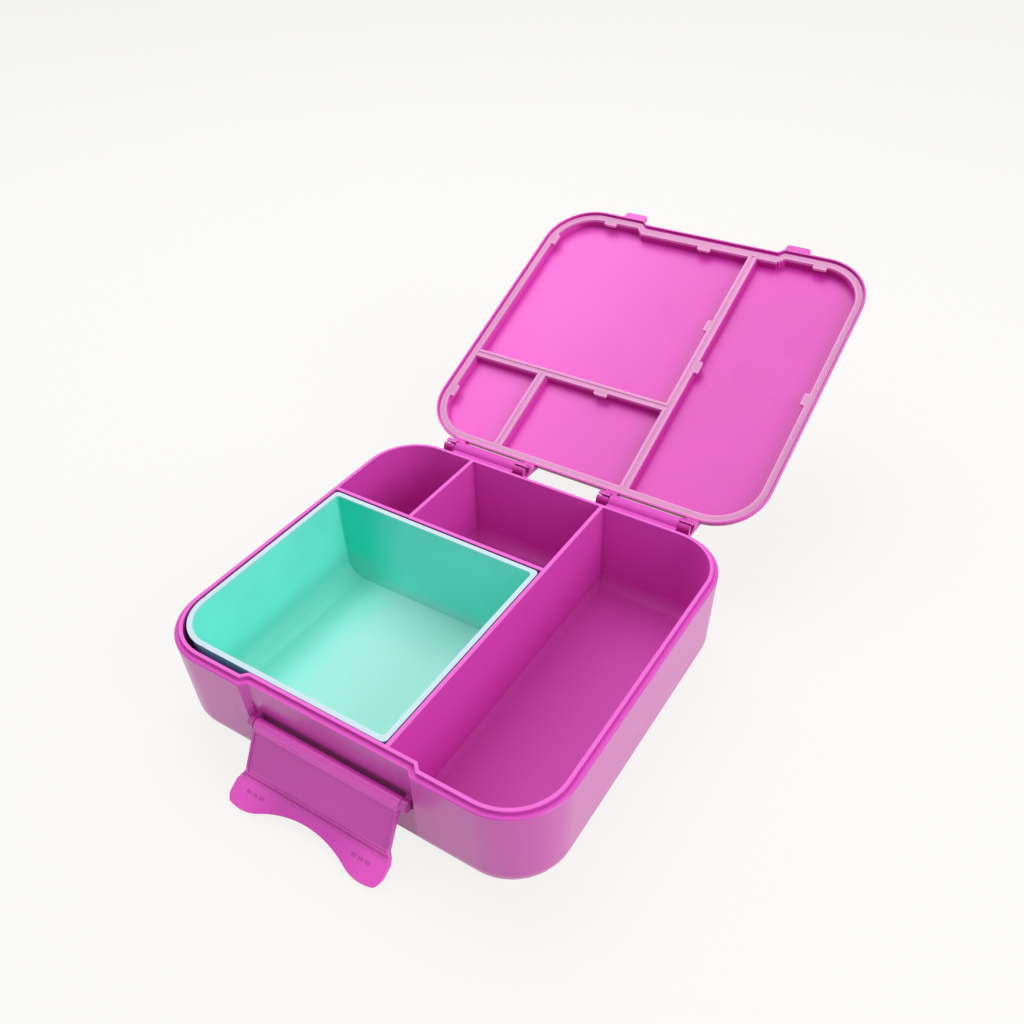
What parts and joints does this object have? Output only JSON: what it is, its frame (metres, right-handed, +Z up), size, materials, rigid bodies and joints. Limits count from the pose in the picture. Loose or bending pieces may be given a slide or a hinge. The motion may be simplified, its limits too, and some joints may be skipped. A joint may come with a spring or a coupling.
{
  "type": "bento lunch box",
  "caption": "Hinged lunch box with divided base, lift-out inner tub, sealed lid and wide front latch, shown open.",
  "frame": {"origin": "centre of the base footprint on the surface it stands on", "axes": "+Z up, +X to the right along the front, +Y from the latch side towards the lid hinges"},
  "size_m": [0.2068, 0.4104, 0.1241],
  "materials": {
    "base": "fine moulded satin",
    "inner_tub": "smooth satin",
    "lid": "fine moulded satin",
    "lid_seal": "matt silicone",
    "latch": "fine moulded satin",
    "latch_pin": "drawn rod",
    "hinge_pin_left": "drawn rod",
    "hinge_pin_right": "drawn rod"
  },
  "bodies": {
    "base_body": {"base": "base", "latch_pin": "latch_pin", "hinge_pin_left": "hinge_pin_left", "hinge_pin_right": "hinge_pin_right"},
    "lid_body": {"lid": "lid", "lid_seal": "lid_seal"},
    "latch_body": {"latch": "latch"},
    "tub_body": {"inner_tub": "inner_tub"}
  },
  "joints": [
    {"name": "lid_hinge", "type": "hinge", "parent": "base_body", "child": "lid_body", "pos_m": [0, 0.1025, 0.0485], "axis": [1, 0, 0], "range_deg": [0, 157]},
    {"name": "latch_hinge", "type": "hinge", "parent": "base_body", "child": "latch_body", "pos_m": [0, -0.0946, 0.03], "axis": [-1, 0, 0], "range_deg": [0, 152]},
    {"name": "tub_lift", "type": "slide", "parent": "base_body", "child": "tub_body", "axis": [0, 0, 1], "range_m": [0, 0.09]}
  ]
}
